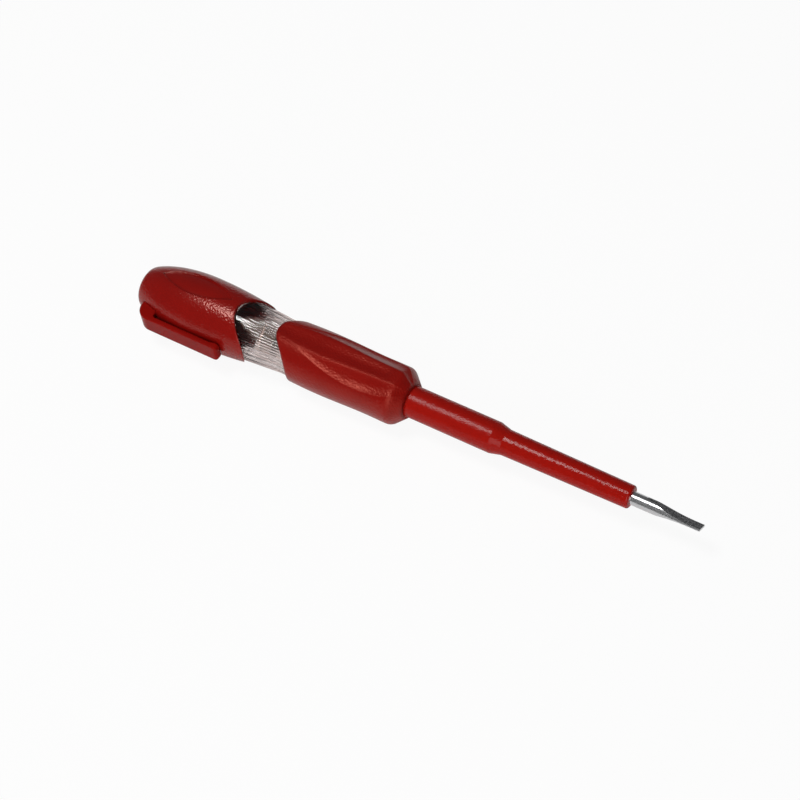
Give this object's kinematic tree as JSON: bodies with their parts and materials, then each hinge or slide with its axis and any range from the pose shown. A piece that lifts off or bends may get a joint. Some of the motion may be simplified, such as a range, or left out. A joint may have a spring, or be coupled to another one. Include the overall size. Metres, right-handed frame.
{
  "type": "voltage tester screwdriver",
  "caption": "Pen-shaped mains voltage tester with an insulated slotted screwdriver blade, clear lamp window, pull-off cap and flexing pocket clip.",
  "frame": {"origin": "On the tool's axis in the plane of the grip's front face, where the insulated shank leaves the grip", "axes": "+X along the tool's axis towards the blade tip, +Z out of the oval on top of the cap, pocket clip at -Y"},
  "size_m": [0.1417, 0.0178, 0.016],
  "materials": {
    "red_moulding": "fine spark-eroded texture",
    "red_insulation": "smooth moulded",
    "clear_body": "clear moulded polycarbonate",
    "blade_steel": "bright drawn, ground tip",
    "nickel_plate": "bright nickel plate",
    "tinned_brass": "dull tin plate",
    "electrode_nickel": "matt drawn wire",
    "spring_steel": "drawn wire",
    "lamp_glass": "clear drawn glass",
    "resistor_ceramic": "lacquered ceramic"
  },
  "bodies": {
    "handle": {"blade": "blade_steel", "blade_insulation": "red_insulation", "front_grip": "red_moulding", "tester_body": "clear_body", "resistor_rod": "resistor_ceramic", "resistor_front_cap": "tinned_brass", "resistor_rear_cap": "tinned_brass", "lamp_glass": "lamp_glass", "lamp_front_cap": "tinned_brass", "lamp_rear_cap": "tinned_brass", "lamp_front_electrode": "electrode_nickel", "lamp_rear_electrode": "electrode_nickel"},
    "cap": {"rear_cap": "red_moulding", "touch_contact": "nickel_plate", "contact_spring": "spring_steel"},
    "contact": {"contact_sleeve": "nickel_plate"},
    "clip": {"pocket_clip": "red_moulding"}
  },
  "joints": [
    {"name": "cap_pull_off", "type": "slide", "parent": "handle", "child": "cap", "axis": [-1, 0, 0], "range_m": [0, 0.025]},
    {"name": "sleeve_press", "type": "slide", "parent": "cap", "child": "contact", "axis": [-1, 0, 0], "range_m": [0, 0.002], "stiffness_N_per_m": 600, "deforming": ["contact_spring"]},
    {"name": "clip_flex", "type": "hinge", "parent": "cap", "child": "clip", "pos_m": [-0.06675, -0.00625, 0], "axis": [0, 0, -1], "range_deg": [0, 6], "stiffness_Nm_per_rad": 0.9}
  ]
}
